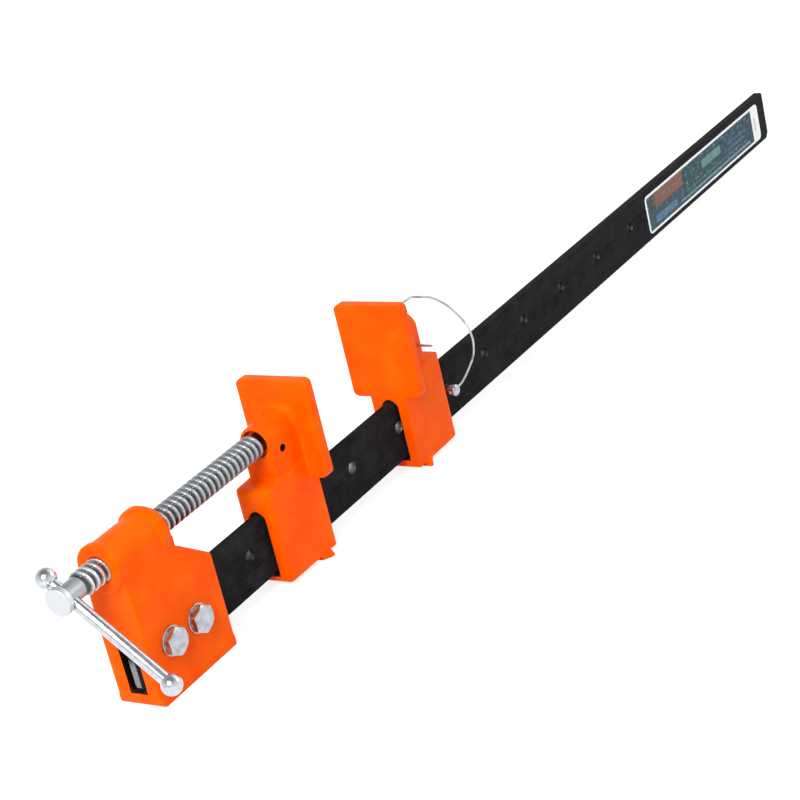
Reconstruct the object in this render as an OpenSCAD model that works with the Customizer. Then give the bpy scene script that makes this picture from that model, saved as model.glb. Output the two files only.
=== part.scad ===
// Screw sash clamp: a drilled flat bar, a bolted cast head with a screw and tommy bar,
// a front jaw on the screw's nose and a tail jaw stopped by a tethered pull-out pin.
// Origin: on the bench, under the middle of the head. +X along the bar, +Z up. Millimetres.

/* [Bar] */
// Length of the bar
bar_len = 900; // [800:1:1200]
// Height of the bar's section
bar_h = 40; // [38:0.5:42]
// Thickness of the bar's section
bar_t = 8; // [6:0.5:8]
// Radius along the bar's four long edges
bar_edge_r = 1.5; // [0.5:0.1:2.5]
// Height of the bar's lower edge above the bench
bar_lift = 10; // [9:0.5:14]
// How far the bar's end lies inside the head
bar_inset = 3; // [2:0.5:8]
// How far the opening in the head's end wall stays below the bar's upper edge
window_drop = 10; // [6:0.5:14]
// Cut across the lower corner at the bar's free end
bar_clip = 5; // [1:0.5:10]
// Diameter of the pin holes
hole_d = 8.2; // [8.2:0.1:9]
// Distance between neighbouring pin holes
hole_pitch = 58; // [56:0.5:70]
// Distance from the head's middle to the first pin hole
hole_first = 81; // [76:0.5:90]
// Number of pin holes
hole_count = 10; // [7:1:11]
// Height of the hole row above the bar's lower edge
hole_h = 23; // [18:0.5:24]

/* [Head] */
// Length of the head along the bar
head_len = 72; // [70:1:84]
// Width of the head across the bar
head_w = 32; // [30:0.5:36]
// Height of the screw's axis above the bar's upper edge
screw_rise = 40; // [38:0.5:46]
// Height of the head's shoulder at its jaw side, above the bar's upper edge
shoulder_rise = 11.5; // [6:0.5:16]
// Length of the sloping top from the boss to the jaw side
slope_len = 23; // [18:0.5:28]
// Radius of the head's boss
head_boss_r = 14.5; // [13.5:0.1:15]
// Radius of the raised lip at the boss's jaw side
lip_r = 17; // [16:0.1:19]
// How far the boss stands out of the head's end face
lip_out = 2; // [1:0.5:8]
// Width of that lip
lip_w = 6; // [4:0.5:10]
// Length of the small collar where the screw leaves the boss
collar_len = 6; // [3:0.5:8]
// Radius of that collar
collar_r = 11; // [10:0.1:13]
// Distance between the two clamp bolts of the head
bolt_pitch = 25; // [23:0.5:30]
// Distance from the head's middle to the midpoint of the bolts, towards the handle
bolt_shift = 3; // [0:0.5:4]

/* [Screw] */
// Outside diameter of the thread
screw_d = 16; // [15:0.1:16]
// Pitch of the square thread
screw_pitch = 5; // [4:0.5:6]
// Depth of the thread
thread_depth = 1.8; // [1.2:0.1:2]
// Radial running clearance of the screw in the head
screw_fit = 0.08; // [0.05:0.01:0.1]
// Plain neck between the screw's head and its thread
neck_len = 1; // [0.5:0.1:3]
// Gap between the screw's head and the cast boss
screw_out = 14; // [8:0.5:30]
// Diameter of the screw's drilled head
knuckle_d = 17.5; // [17:0.1:20]
// Length of the screw's drilled head
knuckle_len = 23; // [18:0.5:28]
// Thickness of the round cap at the knuckle's outer end
cap_len = 4.5; // [3:0.5:4.5]
// Diameter of the knuckle's neck, where the tommy bar goes through
neck_d = 13; // [12.5:0.5:15]
// Distance from the end of that head to the middle of its cross hole
rod_set = 8.5; // [7:0.1:9]
// Diameter of the nose that turns in the front jaw
nose_d = 12; // [11:0.1:12]
// Length of the nose
nose_len = 25; // [22:0.5:26]

/* [Tommy bar] */
// Diameter of the sliding rod
rod_d = 7.5; // [6:0.1:8]
// Length of the rod between the centres of its balls
rod_span = 91; // [80:0.5:110]
// Diameter of the ball ends
ball_d = 12.5; // [12:0.1:16]
// Angle of the rod, down from level on the near side
rod_angle = 41; // [30:1:60]

/* [Jaws] */
// Length of the front jaw along the bar
front_len = 51.5; // [50:0.5:58]
// Length of the tail jaw along the bar
tail_len = 50.5; // [48:0.5:54]
// Width of a jaw's body across the bar
jaw_w = 27; // [25:0.5:32]
// Height of a jaw's body above the bar's upper edge
jaw_deck = 16; // [12:0.5:20]
// Width of the clamping plate
plate_w = 53; // [44:0.5:60]
// Thickness of the clamping plate
plate_t = 8; // [7:0.5:12]
// Height of the clamping plate
plate_h = 65.5; // [58:0.5:72]
// Gap between the bar's upper edge and the clamping plate
plate_lift = 4.5; // [3:0.5:8]
// Length of the boss behind the plate
boss_len = 27.5; // [26:0.5:30]
// Radius of the boss at its outer end
boss_end_r = 11; // [10.5:0.1:12.5]
// Length of a jaw's foot pad along the bar
foot_len = 8; // [6:0.5:12]
// Height of a jaw's body above the bench, where there is no foot pad
foot_h = 3; // [1.5:0.5:5]
// How far the foot pads and the head's base stand out at each side
flare = 4; // [1:0.5:6]
// Distance from the head's middle to the front jaw's back
front_x = 100; // [96:0.5:116]
// Side gap between the bar and the castings' slots
slot_gap = 2.25; // [1:0.05:2.5]
// Gap under the bar in the castings' slots
slot_floor_gap = 0.3; // [0.2:0.05:0.5]
// Gap over the bar at the top of the slots' arches
slot_top_gap = 2; // [1:0.1:3]

/* [Pins and wire] */
// Diameter of the tail jaw's lock pin
pin_d = 8.05; // [7.9:0.05:8.1]
// Length of the lock pin
pin_len = 30; // [28:0.5:36]
// How far the pin stands out of the bar on the near side
pin_out = 12; // [11:0.5:14]
// Number of the hole that holds the pin, counted from the head
pin_hole = 5; // [5:1:6]
// Gap between the tail jaw and its pin
pin_gap = 2.5; // [1:0.5:8]
// Diameter of the keeper wire
wire_d = 1.6; // [1.4:0.1:2]
// Diameter of the pin that keeps the screw in the front jaw
keep_pin_d = 4; // [3:0.1:4.5]
// Length of that pin
keep_pin_len = 18; // [14:0.5:20]

/* [Bolts] */
// Diameter of the head bolts
bolt_d = 10; // [7:0.5:12]
// Width of the bolt heads and nuts across their flats
bolt_flats = 16; // [13:0.5:18]
// Thickness of the bolt heads
bolt_head_h = 6.4; // [4:0.1:7]
// Thickness of the nuts
nut_h = 8.4; // [5:0.1:9]
// Outside diameter of the washers
washer_d = 18; // [15.5:0.5:22]
// Thickness of the washers
washer_t = 1.6; // [1:0.1:2.5]

/* [Label] */
// Length of the label
label_len = 220; // [160:1:230]
// Height of the label
label_h = 31; // [24:0.5:33]
// Thickness of the label
label_t = 0.3; // [0.2:0.05:0.5]
// Distance from the label to the bar's free end
label_margin = 14; // [10:0.5:25]

/* [Hidden] */
$fn = 48;

// Tiny overlap that lets cuts run past a face
eps = 0.5;
// Corner radius of the castings' outlines
cast_r = 2.5;
// Height of the slope from a foot's edge up to the casting's side
flare_h = 5;
// Height of a foot's upright edge
foot_edge = 1.5;
// Distance from a jaw's clamping face to its foot pad
foot_back = 8;

// Heights above the bench
bar_top = bar_lift + bar_h;
hole_z = bar_lift + hole_h;
axis_z = bar_top + screw_rise;

// Places along the bar
head_end = -head_len / 2;
head_face = head_len / 2;
bar_start = head_end + bar_inset;
bar_end = bar_start + bar_len;
boss_start = head_end - lip_out;
slope_start = head_face - slope_len;
lip_end = slope_start - collar_len;
bolt_mid = -bolt_shift;
knuckle_end = boss_start - screw_out;
knuckle_start = knuckle_end - knuckle_len;
rod_x = knuckle_start + rod_set;
front_face = front_x + front_len;
front_boss = front_face - plate_t - boss_len;
pin_x = hole_first + (pin_hole - 1) * hole_pitch;
tail_back = pin_x - pin_d / 2 - pin_gap;
tail_face = tail_back - tail_len;
tail_boss = tail_face + plate_t + boss_len;

// Widths of the slots and where the rod's balls sit
slot_w = bar_t + 2 * slot_gap;
slot_floor = bar_lift - slot_floor_gap;
slot_top = bar_top + slot_top_gap;
ball_rest = (knuckle_d + ball_d) / 2;
boss_r = jaw_w / 2;

// The screw's nose and its keeper
nose_gap = 0.5;
nose_start = front_boss - nose_gap;
mouth_len = 4;
groove_x = front_boss + 11;
groove_clear = 0.2;
groove_r = nose_d / 2 - 1.4;
keep_pin_drop = groove_r + groove_clear + keep_pin_d / 2;
keep_pin_wall = 0.6;

// The keeper wire's hole in the tail jaw and the points that the wire runs through
wire_hole_x = tail_boss - 4.5;
wire_hole_z = axis_z - 12;
wire_hole_clear = 0.3;
wire_pin_y = -(bar_t / 2 + pin_out - 3);
wire_sides = 10;

function move(p, x, z) = [p[0] + x, p[1], p[2] + z];

// Points near the tail jaw follow its hole, points near the pin follow the pin
near_jaw = [[0, -22.5, 0], [0, -16, 0], [0, 0, 0], [0, 14, 0], [3, 18, 3], [14, 18.5, 13],
            [35.5, 14, 17.6], [45.6, 13.5, 14.7], [59.3, 12, 8.3]];
near_pin = [[43.5, 9, 44], [49.2, 5, 34], [51.2, 1.5, 26.4], [48.1, -3.5, 19.5], [43.9, -6.5, 13.9],
            [38, -8, 7.5], [24.2, -11, 3.5], [12.9, -13, 1.2], [6, -13, 0], [-4.2, -13, 0], [-5.7, -13.5, 1]];
wire_points = concat([for (p = near_jaw) move(p, wire_hole_x, wire_hole_z)],
                     [for (p = near_pin) move([p[0], p[1] + 13 + wire_pin_y, p[2]], pin_x, hole_z)]);

// Rounded outline: each corner [x, y, r] becomes an arc of radius r that touches both sides
arc_steps = 6;
function unit(v) = v / norm(v);
function corner_arc(a, b, c) =
    let (u = unit([a[0] - b[0], a[1] - b[1]]), v = unit([c[0] - b[0], c[1] - b[1]]),
         half = acos(max(-1, min(1, u * v))) / 2, back = b[2] / tan(half),
         mid = [b[0], b[1]] + unit(u + v) * b[2] / sin(half),
         p = [b[0], b[1]] + u * back, q = [b[0], b[1]] + v * back,
         s = atan2(p[1] - mid[1], p[0] - mid[0]), e = atan2(q[1] - mid[1], q[0] - mid[0]),
         turn = (e - s) > 180 ? e - s - 360 : (e - s) < -180 ? e - s + 360 : e - s)
    [for (i = [0 : arc_steps]) mid + b[2] * [cos(s + turn * i / arc_steps), sin(s + turn * i / arc_steps)]];
function outline(c) =
    [for (i = [0 : len(c) - 1])
        let (b = c[i], a = c[(i + len(c) - 1) % len(c)], d = c[(i + 1) % len(c)])
        each (b[2] > 0 ? corner_arc(a, b, d) : [[b[0], b[1]]])];

// Extrude an outline drawn in X and Z across the bar
module across(w) {
    rotate([90, 0, 0]) linear_extrude(w, center = true) children();
}

// Extrude an outline drawn in Y and Z along the bar, from x0 to x1
module along(x0, x1) {
    translate([x0, 0, 0]) rotate([90, 0, 90]) linear_extrude(x1 - x0) children();
}

// Cylinder on the screw's axis
module round_along(x0, x1, r) {
    translate([x0, 0, axis_z]) rotate([0, 90, 0]) cylinder(h = x1 - x0, r = r);
}

// Cylinder across the bar, from y0 to y1
module round_across(x, z, y0, y1, r) {
    translate([x, y1, z]) rotate([90, 0, 0]) cylinder(h = y1 - y0, r = r);
}

// Outline in Y and Z: a base wider than the sides by the flare, as high as top
function flared(w, top) = [[-w / 2 - flare, 0, 0.5], [w / 2 + flare, 0, 0.5], [w / 2 + flare, foot_edge, 0.5],
                           [w / 2, foot_edge + flare_h, 2], [w / 2, top, 0], [-w / 2, top, 0],
                           [-w / 2, foot_edge + flare_h, 2], [-w / 2 - flare, foot_edge, 0.5]];

// Slot for the bar with an arched top
module bar_slot(x0, x1) {
    along(x0 - eps, x1 + eps) {
        translate([-slot_w / 2, slot_floor]) square([slot_w, slot_top - slot_w / 2 - slot_floor]);
        translate([0, slot_top - slot_w / 2]) circle(d = slot_w);
    }
}

// Gap between the bar's end and the head's end wall
end_gap = 0.3;
// How far the window's rounded foot reaches below the slots' floor
window_dip = 1.4;

// Window in the head's end wall: a slot with round ends, through which the bar's end shows
module end_window() {
    low = slot_floor - window_dip + slot_w / 2;
    high = bar_top - window_drop - slot_w / 2;
    along(head_end - eps, bar_start) {
        translate([0, low]) circle(d = slot_w);
        translate([-slot_w / 2, low]) square([slot_w, high - low]);
        translate([0, high]) circle(d = slot_w);
    }
}

// Bar with its pin holes and the two bolt holes at the head
module bar() {
    color([0.07, 0.07, 0.08]) difference() {
        intersection() {
            along(bar_start, bar_end)
                polygon(outline([[-bar_t / 2, bar_lift, bar_edge_r], [bar_t / 2, bar_lift, bar_edge_r],
                                 [bar_t / 2, bar_top, bar_edge_r], [-bar_t / 2, bar_top, bar_edge_r]]));
            across(bar_t + 2 * eps)
                polygon([[bar_start - eps, bar_lift - eps], [bar_end - bar_clip, bar_lift - eps],
                         [bar_end, bar_lift + bar_clip], [bar_end, bar_top + eps],
                         [bar_start - eps, bar_top + eps]]);
        }
        for (i = [0 : hole_count - 1])
            round_across(hole_first + i * hole_pitch, hole_z, -bar_t, bar_t, hole_d / 2);
        for (s = [-1, 1])
            round_across(bolt_mid + s * bolt_pitch / 2, hole_z, -bar_t, bar_t, bolt_d / 2 + bolt_clear);
    }
}

// Clearance round the bolts
bolt_clear = 0.25;

// Head casting: a slotted block with a long boss for the screw
module head_casting() {
    rear_lip = 1;
    color([1, 0.36, 0]) difference() {
        union() {
            intersection() {
                across(head_w + 2 * eps)
                    polygon(outline([[head_end, 0, 3], [head_face, 0, 1],
                                     [head_face, bar_top + shoulder_rise, cast_r],
                                     [slope_start, axis_z - shoulder_rise, cast_r],
                                     [slope_start - cast_r, axis_z - shoulder_rise, 0],
                                     [slope_start - cast_r, axis_z + head_w, 0],
                                     [head_end, axis_z + head_w, 0]]));
                along(head_end - eps, head_face + eps) {
                    polygon(outline(flared(head_w, bar_top + shoulder_rise)));
                    polygon([[head_w / 2, bar_top], [head_w / 2, bar_top + shoulder_rise],
                             [head_boss_r, axis_z], [-head_boss_r, axis_z],
                             [-head_w / 2, bar_top + shoulder_rise], [-head_w / 2, bar_top]]);
                    translate([0, axis_z]) circle(r = head_boss_r);
                }
            }
            round_along(boss_start, head_end + 3, head_boss_r + rear_lip);
            round_along(lip_end - lip_w, lip_end, lip_r);
            round_along(lip_end - eps, slope_start, collar_r);
        }
        bar_slot(bar_start - end_gap, head_face);
        end_window();
        round_along(boss_start - eps, slope_start + eps, screw_d / 2 + screw_fit);
        for (s = [-1, 1])
            round_across(bolt_mid + s * bolt_pitch / 2, hole_z, -head_w, head_w, bolt_d / 2 + bolt_clear);
    }
}

// Hex prism across the bar with its lower face at y0
module hex_across(x, y0, h) {
    translate([x, y0 + h, hole_z]) rotate([90, 0, 0]) rotate([0, 0, 30])
        cylinder(h = h, r = bolt_flats / sqrt(3), $fn = 6);
}

// Bolt: hex head on the near side, shank through to the nut
module head_bolt(x) {
    tip = head_w / 2 + washer_t + nut_h + 2;
    color([0.78, 0.8, 0.82]) {
        hex_across(x, -head_w / 2 - washer_t - bolt_head_h, bolt_head_h);
        round_across(x, hole_z, -head_w / 2 - washer_t - eps, tip, bolt_d / 2);
    }
}

module washer(x, y0) {
    color([0.72, 0.74, 0.76]) difference() {
        round_across(x, hole_z, y0, y0 + washer_t, washer_d / 2);
        round_across(x, hole_z, y0 - eps, y0 + washer_t + eps, bolt_d / 2 + bolt_clear);
    }
}

module head_nut(x) {
    y0 = head_w / 2 + washer_t;
    color([0.75, 0.77, 0.79]) difference() {
        hex_across(x, y0, nut_h);
        round_across(x, hole_z, y0 - eps, y0 + nut_h + eps, bolt_d / 2 + nut_clear);
    }
}

// Radial gap in the nuts, in place of their thread
nut_clear = 0.05;
bolt_rear_x = bolt_mid - bolt_pitch / 2;
bolt_front_x = bolt_mid + bolt_pitch / 2;

// Label: thin rounded plate on the near side of the bar
module label() {
    x1 = bar_end - label_margin;
    z0 = bar_lift + (bar_h - label_h) / 2;
    label_r = 4;
    color([0.2, 0.35, 0.42]) translate([0, -bar_t / 2 - label_t / 2, 0]) across(label_t)
        polygon(outline([[x1 - label_len, z0, label_r], [x1, z0, label_r],
                         [x1, z0 + label_h, label_r], [x1 - label_len, z0 + label_h, label_r]]));
}

// Screw: drilled head, neck, square thread as rings, grooved nose. Drawn as half a section, then turned
module screw() {
    thread_start = knuckle_end + neck_len;
    core_r = screw_d / 2 - thread_depth;
    turns = floor((nose_start - thread_start - 1) / screw_pitch);
    rounding = 1.2;
    fillet = 0.8;
    groove_half = keep_pin_d / 2 + groove_clear;
    color([0.74, 0.76, 0.78]) difference() {
        union() {
            translate([0, 0, axis_z]) rotate([0, 90, 0]) rotate_extrude() polygon(concat(
                [[0, knuckle_start], [knuckle_d / 2 - rounding, knuckle_start],
                 [knuckle_d / 2, knuckle_start + rounding], [knuckle_d / 2, knuckle_start + cap_len - fillet],
                 [knuckle_d / 2 - fillet, knuckle_start + cap_len], [neck_d / 2, knuckle_start + cap_len],
                 [neck_d / 2, knuckle_end], [screw_d / 2 - 1, knuckle_end], [screw_d / 2 - 1, thread_start]],
                [for (i = [0 : turns - 1], p = [[0, 0], [1, 0], [1, 0.5], [0, 0.5]])
                    [p[0] * thread_depth + core_r, thread_start + (i + p[1]) * screw_pitch]],
                [[core_r, nose_start], [nose_d / 2, nose_start],
                 [nose_d / 2, groove_x - groove_half], [groove_r, groove_x - groove_half],
                 [groove_r, groove_x + groove_half], [nose_d / 2, groove_x + groove_half],
                 [nose_d / 2, nose_start + nose_len - 1], [nose_d / 2 - 1, nose_start + nose_len],
                 [0, nose_start + nose_len]]));
        }
        translate([rod_x, 0, axis_z]) rotate([rod_angle, 0, 0]) rotate([90, 0, 0])
            cylinder(h = knuckle_d * 2, r = rod_d / 2 + rod_fit, center = true);
    }
}

// Radial running clearance of the rod and of the nose
rod_fit = 0.08;
nose_fit = 0.08;

// Frame whose -Y axis points down along the tommy bar
module on_rod() {
    translate([rod_x, 0, axis_z]) rotate([rod_angle, 0, 0]) children();
}

// The rod hangs as far down as its upper ball lets it
rod_top = ball_rest;
rod_bottom = ball_rest - rod_span;
ball_grip = 4.5;

module tommy_bar() {
    color([0.8, 0.82, 0.84]) on_rod() translate([0, rod_top + ball_grip - 0.5, 0]) rotate([90, 0, 0])
        cylinder(h = rod_span + 2 * ball_grip - 1, d = rod_d);
}

// Ball with a blind hole that the rod's end is pressed into; side is +1 at the top, -1 below
module tommy_ball(y, side) {
    color([0.82, 0.84, 0.86]) on_rod() translate([0, y, 0]) difference() {
        sphere(d = ball_d);
        rotate([side * 90, 0, 0]) translate([0, 0, -ball_grip]) cylinder(h = ball_d + ball_grip, d = rod_d);
    }
}

// Jaw casting with its clamping face at x = 0 and its body towards +X
module jaw_casting(length) {
    boss_end = plate_t + boss_len;
    deck = bar_top + jaw_deck;
    soft = 4;
    narrow = 1;
    root = 3;
    pad_w = jaw_w / 2 + flare;
    pad_rear = jaw_w / 2 - 1;
    color([1, 0.36, 0]) difference() {
        union() {
            intersection() {
                across(jaw_w)
                    polygon(outline([[0, foot_h, 1], [length, foot_h, soft], [length, deck, soft],
                                     [plate_t - 1, deck + 1, 0], [0, deck + 1, 0]]));
                along(-eps, length + eps)
                    polygon(outline([[-jaw_w / 2, 0, cast_r], [jaw_w / 2, 0, cast_r],
                                     [jaw_w / 2, deck + 2 * eps, 0], [-jaw_w / 2, deck + 2 * eps, 0]]));
                linear_extrude(deck + 2)
                    polygon(outline([[0, -boss_r, 0], [length, -boss_r + narrow, soft],
                                     [length, boss_r - narrow, soft], [0, boss_r, 0]]));
            }
            // Foot pad: flared beside the body, its rear corners cut off
            intersection() {
                along(foot_back, foot_back + foot_len) polygon(outline(flared(jaw_w - 1, bar_lift)));
                linear_extrude(bar_lift + 1)
                    polygon([[foot_back - 1, -pad_w], [foot_back + 1, -pad_w], [foot_back + foot_len, -pad_rear],
                             [foot_back + foot_len, pad_rear], [foot_back + 1, pad_w], [foot_back - 1, pad_w]]);
            }
            // Web between the body and the boss, narrower towards the boss's end
            translate([0, 0, deck - soft]) linear_extrude(axis_z - deck + soft)
                polygon([[0, -boss_r], [boss_end, -boss_end_r], [boss_end, boss_end_r], [0, boss_r]]);
            translate([0, 0, axis_z]) rotate([0, 90, 0]) cylinder(h = boss_end, r1 = boss_r, r2 = boss_end_r);
            translate([plate_t - 1, 0, axis_z]) rotate([0, 90, 0])
                cylinder(h = root + 1, r1 = boss_r + root, r2 = boss_r - 0.7);
            along(0, plate_t)
                polygon(outline([[-plate_w / 2, bar_top + plate_lift, 4], [plate_w / 2, bar_top + plate_lift, 4],
                                 [plate_w / 2, bar_top + plate_lift + plate_h, 4],
                                 [-plate_w / 2, bar_top + plate_lift + plate_h, 4]]));
        }
        bar_slot(0, length);
    }
}

// Front jaw: faces the tail jaw, bored for the screw's nose and for its keeper pin
module front_jaw() {
    bore_end = nose_start + nose_len + nose_gap;
    difference() {
        translate([front_face, 0, 0]) mirror([1, 0, 0]) jaw_casting(front_len);
        round_along(front_boss - eps, front_boss + mouth_len, screw_d / 2 + 1);
        round_along(front_boss, bore_end, nose_d / 2 + nose_fit);
        round_across(groove_x, axis_z - keep_pin_drop, -jaw_w, jaw_w, keep_pin_d / 2);
    }
}

// Rolled spring pin with its slit facing down
module jaw_retainer_pin() {
    color([0.5, 0.5, 0.52]) difference() {
        round_across(groove_x, axis_z - keep_pin_drop, -keep_pin_len / 2, keep_pin_len / 2, keep_pin_d / 2);
        round_across(groove_x, axis_z - keep_pin_drop, -keep_pin_len, keep_pin_len, keep_pin_d / 2 - keep_pin_wall);
        translate([groove_x - 0.4, -keep_pin_len, axis_z - keep_pin_drop - keep_pin_d])
            cube([0.8, 2 * keep_pin_len, keep_pin_d]);
    }
}

// Tail jaw: the same casting turned round, drilled for the keeper wire
module tail_jaw() {
    difference() {
        translate([tail_face, 0, 0]) jaw_casting(tail_len);
        round_across(wire_hole_x, wire_hole_z, -jaw_w, jaw_w, wire_d / 2 + wire_hole_clear);
    }
}

// Lock pin with chamfered ends and a small cross hole for the wire
module lock_pin() {
    y0 = -bar_t / 2 - pin_out;
    chamfer = 1.2;
    r = pin_d / 2;
    color([0.82, 0.84, 0.86]) difference() {
        translate([pin_x, y0, hole_z]) rotate([-90, 0, 0]) rotate_extrude()
            polygon([[0, 0], [r - chamfer, 0], [r, chamfer], [r, pin_len - chamfer],
                     [r - chamfer, pin_len], [0, pin_len]]);
        translate([pin_x, wire_pin_y, hole_z]) rotate([0, 90, 0])
            cylinder(h = 2 * pin_d, d = wire_d + 2 * wire_hole_clear, center = true);
    }
}

// Smooth curve through the wire's points, as Catmull-Rom pieces
wire_steps = 4;
function spline(a, b, c, d, t) =
    0.5 * (2 * b + (c - a) * t + (2 * a - 5 * b + 4 * c - d) * t * t + (3 * b - a - 3 * c + d) * t * t * t);
wire_last = len(wire_points) - 1;
wire_path = concat(
    [for (i = [0 : wire_last - 1], k = [0 : wire_steps - 1])
        spline(wire_points[max(i - 1, 0)], wire_points[i], wire_points[i + 1],
               wire_points[min(i + 2, wire_last)], k / wire_steps)],
    [wire_points[wire_last]]);

// Rings of points round the path, each square to it, joined into one closed tube
function tangent(p, i) = unit(p[min(i + 1, len(p) - 1)] - p[max(i - 1, 0)]);
function carry(v, t) = unit(v - t * (v * t));
function frames(p, i, v) = i == len(p) ? [] : concat([carry(v, tangent(p, i))],
                                                     frames(p, i + 1, carry(v, tangent(p, i))));
module tube(p, r, sides) {
    ups = frames(p, 0, [0, 0, 1]);
    n = len(p);
    rings = [for (i = [0 : n - 1], k = [0 : sides - 1])
                let (u = ups[i], w = cross(tangent(p, i), u), a = 360 * k / sides)
                p[i] + r * (u * cos(a) + w * sin(a))];
    walls = [for (i = [0 : n - 2], k = [0 : sides - 1])
                let (a = i * sides + k, b = i * sides + (k + 1) % sides)
                each [[a, b + sides, b], [a, a + sides, b + sides]]];
    first = [for (k = [1 : sides - 2]) [0, k, k + 1]];
    last = [for (k = [1 : sides - 2]) [(n - 1) * sides, (n - 1) * sides + k + 1, (n - 1) * sides + k]];
    polyhedron(points = rings, faces = concat(walls, first, last));
}

// Keeper wire: through the tail jaw, over the bar and through the pin's end
module keeper_wire() {
    color([0.6, 0.6, 0.62]) tube(wire_path, wire_d / 2, wire_sides);
}

bar();
head_casting();
head_bolt(bolt_front_x);  // head_bolt_front
head_bolt(bolt_rear_x);  // head_bolt_rear
washer(bolt_front_x, -head_w / 2 - washer_t);  // head_washer_front
washer(bolt_rear_x, -head_w / 2 - washer_t);  // head_washer_rear
washer(bolt_front_x, head_w / 2);  // nut_washer_front
washer(bolt_rear_x, head_w / 2);  // nut_washer_rear
head_nut(bolt_front_x);  // head_nut_front
head_nut(bolt_rear_x);  // head_nut_rear
label();
screw();
tommy_bar();
tommy_ball(rod_top, 1);  // tommy_ball_upper
tommy_ball(rod_bottom, -1);  // tommy_ball_lower
front_jaw();
jaw_retainer_pin();
tail_jaw();
lock_pin();
keeper_wire();
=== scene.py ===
# Sash clamp on a drilled bar: surfaces, finishes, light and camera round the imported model.
# Blender works in metres; dictionaries and finishes give sizes in millimetres, which mm turns to metres.
import math
import bpy
import bmesh
import numpy as np
from mathutils import Matrix


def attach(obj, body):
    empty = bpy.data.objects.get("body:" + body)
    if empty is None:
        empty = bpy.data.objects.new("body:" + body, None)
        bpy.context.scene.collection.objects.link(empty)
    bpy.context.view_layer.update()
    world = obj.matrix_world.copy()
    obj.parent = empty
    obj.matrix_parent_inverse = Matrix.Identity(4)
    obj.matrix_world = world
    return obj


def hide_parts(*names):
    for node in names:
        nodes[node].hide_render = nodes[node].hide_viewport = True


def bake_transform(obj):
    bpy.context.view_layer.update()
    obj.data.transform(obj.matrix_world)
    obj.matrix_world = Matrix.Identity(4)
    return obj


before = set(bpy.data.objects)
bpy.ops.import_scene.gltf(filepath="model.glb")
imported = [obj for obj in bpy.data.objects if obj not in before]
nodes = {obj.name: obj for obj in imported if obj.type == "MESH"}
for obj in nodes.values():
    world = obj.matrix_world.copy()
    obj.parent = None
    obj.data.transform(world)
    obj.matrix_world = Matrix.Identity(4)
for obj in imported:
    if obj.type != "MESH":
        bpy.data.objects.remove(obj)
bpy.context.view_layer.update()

scene = bpy.context.scene
mm = 0.001
print("frame loaded:", len(nodes), "nodes")


# Object that holds a mesh, a lamp or a camera, put in the scene.
def linkObject(name, data):
    holder = bpy.data.objects.new(name, data)
    scene.collection.objects.link(holder)
    return holder


# Mesh object from an array of points and a list of faces, smooth but for edges sharper than crease degrees.
def newPiece(name, points, faces, crease=32):
    mesh = bpy.data.meshes.new(name)
    mesh.from_pydata(points.tolist(), [], faces)
    mesh.update()
    mesh.shade_smooth()
    mesh.set_sharp_from_angle(angle=math.radians(crease))
    return linkObject(name, mesh)


# A direction made one long, d, and two unit vectors u and v square to it, with u x v = d, so that rings run
# right-handed about d.
def crossAxes(direction):
    d = np.array(direction, float)
    d /= np.linalg.norm(d)
    reference = np.array([0.0, 0.0, 1.0]) if abs(d[2]) < 0.9 else np.array([1.0, 0.0, 0.0])
    u = np.cross(reference, d)
    u /= np.linalg.norm(u)
    return d, u, np.cross(d, u)


# Angles 2 pi k / n, once round.
def turnAngles(n):
    return np.arange(n) * 2 * np.pi / n


# Faces over n rings of m points: a quad between each two rings, and either a fan to a middle point at
# each end (points n*m and n*m + 1) or, for a closed profile, quads from the last ring back to the first.
def ringFaces(n, m, closed=False):
    i, j = np.meshgrid(np.arange(n if closed else n - 1), np.arange(m), indexing="ij")
    here, beside = i * m + j, i * m + (j + 1) % m
    ahead, across = (i + 1) % n * m + j, (i + 1) % n * m + (j + 1) % m
    faces = np.stack([here, beside, across, ahead], -1).reshape(-1, 4).tolist()
    if not closed:
        k = np.arange(m)
        start, end = np.full(m, n * m), np.full(m, n * m + 1)
        faces += np.stack([start, (k + 1) % m, k], -1).tolist()
        faces += np.stack([end, (n - 1) * m + k, (n - 1) * m + (k + 1) % m], -1).tolist()
    return faces


# Turned surface: point = start + d s + r (u cos t + v sin t), for profile points (s, r) along direction d
# and angles t all round; r may be an array over (profile point, angle), as for a hexagon or a thread.
def turnedPiece(name, start, direction, along, radius, around=96, closed=False, crease=32):
    d, u, v = crossAxes(direction)
    turn = turnAngles(around)
    radius = (radius[:, None] if radius.ndim == 1 else radius) + 0 * turn
    spoke = np.cos(turn)[:, None] * u + np.sin(turn)[:, None] * v
    rings = np.array(start) + along[:, None, None] * d + radius[..., None] * spoke
    points = rings.reshape(-1, 3)
    if not closed:
        points = np.vstack([points, rings[0].mean(0), rings[-1].mean(0)])
    return newPiece(name, points, ringFaces(len(rings), around, closed), crease)


# Profile whose inner corners are eased: each corner P between A and B becomes the curve
# (1-t)^2 (P to A by soft) + 2 t (1-t) P + t^2 (P to B by soft), soft being at most a share of either side.
def easedProfile(corners, soft, steps=4, share=0.45):
    p = np.array(corners, float)
    before, here, after = p[:-2], p[1:-1], p[2:]
    toBefore, toAfter = before - here, after - here
    lengthBefore = np.linalg.norm(toBefore, axis=1, keepdims=True)
    lengthAfter = np.linalg.norm(toAfter, axis=1, keepdims=True)
    a = here + toBefore * np.minimum(soft / lengthBefore, share)
    b = here + toAfter * np.minimum(soft / lengthAfter, share)
    t = np.linspace(0, 1, steps)[None, :, None]
    curve = (1 - t) ** 2 * a[:, None] + 2 * t * (1 - t) * here[:, None] + t ** 2 * b[:, None]
    return np.vstack([p[:1], curve.reshape(-1, 2), p[-1:]])


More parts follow.
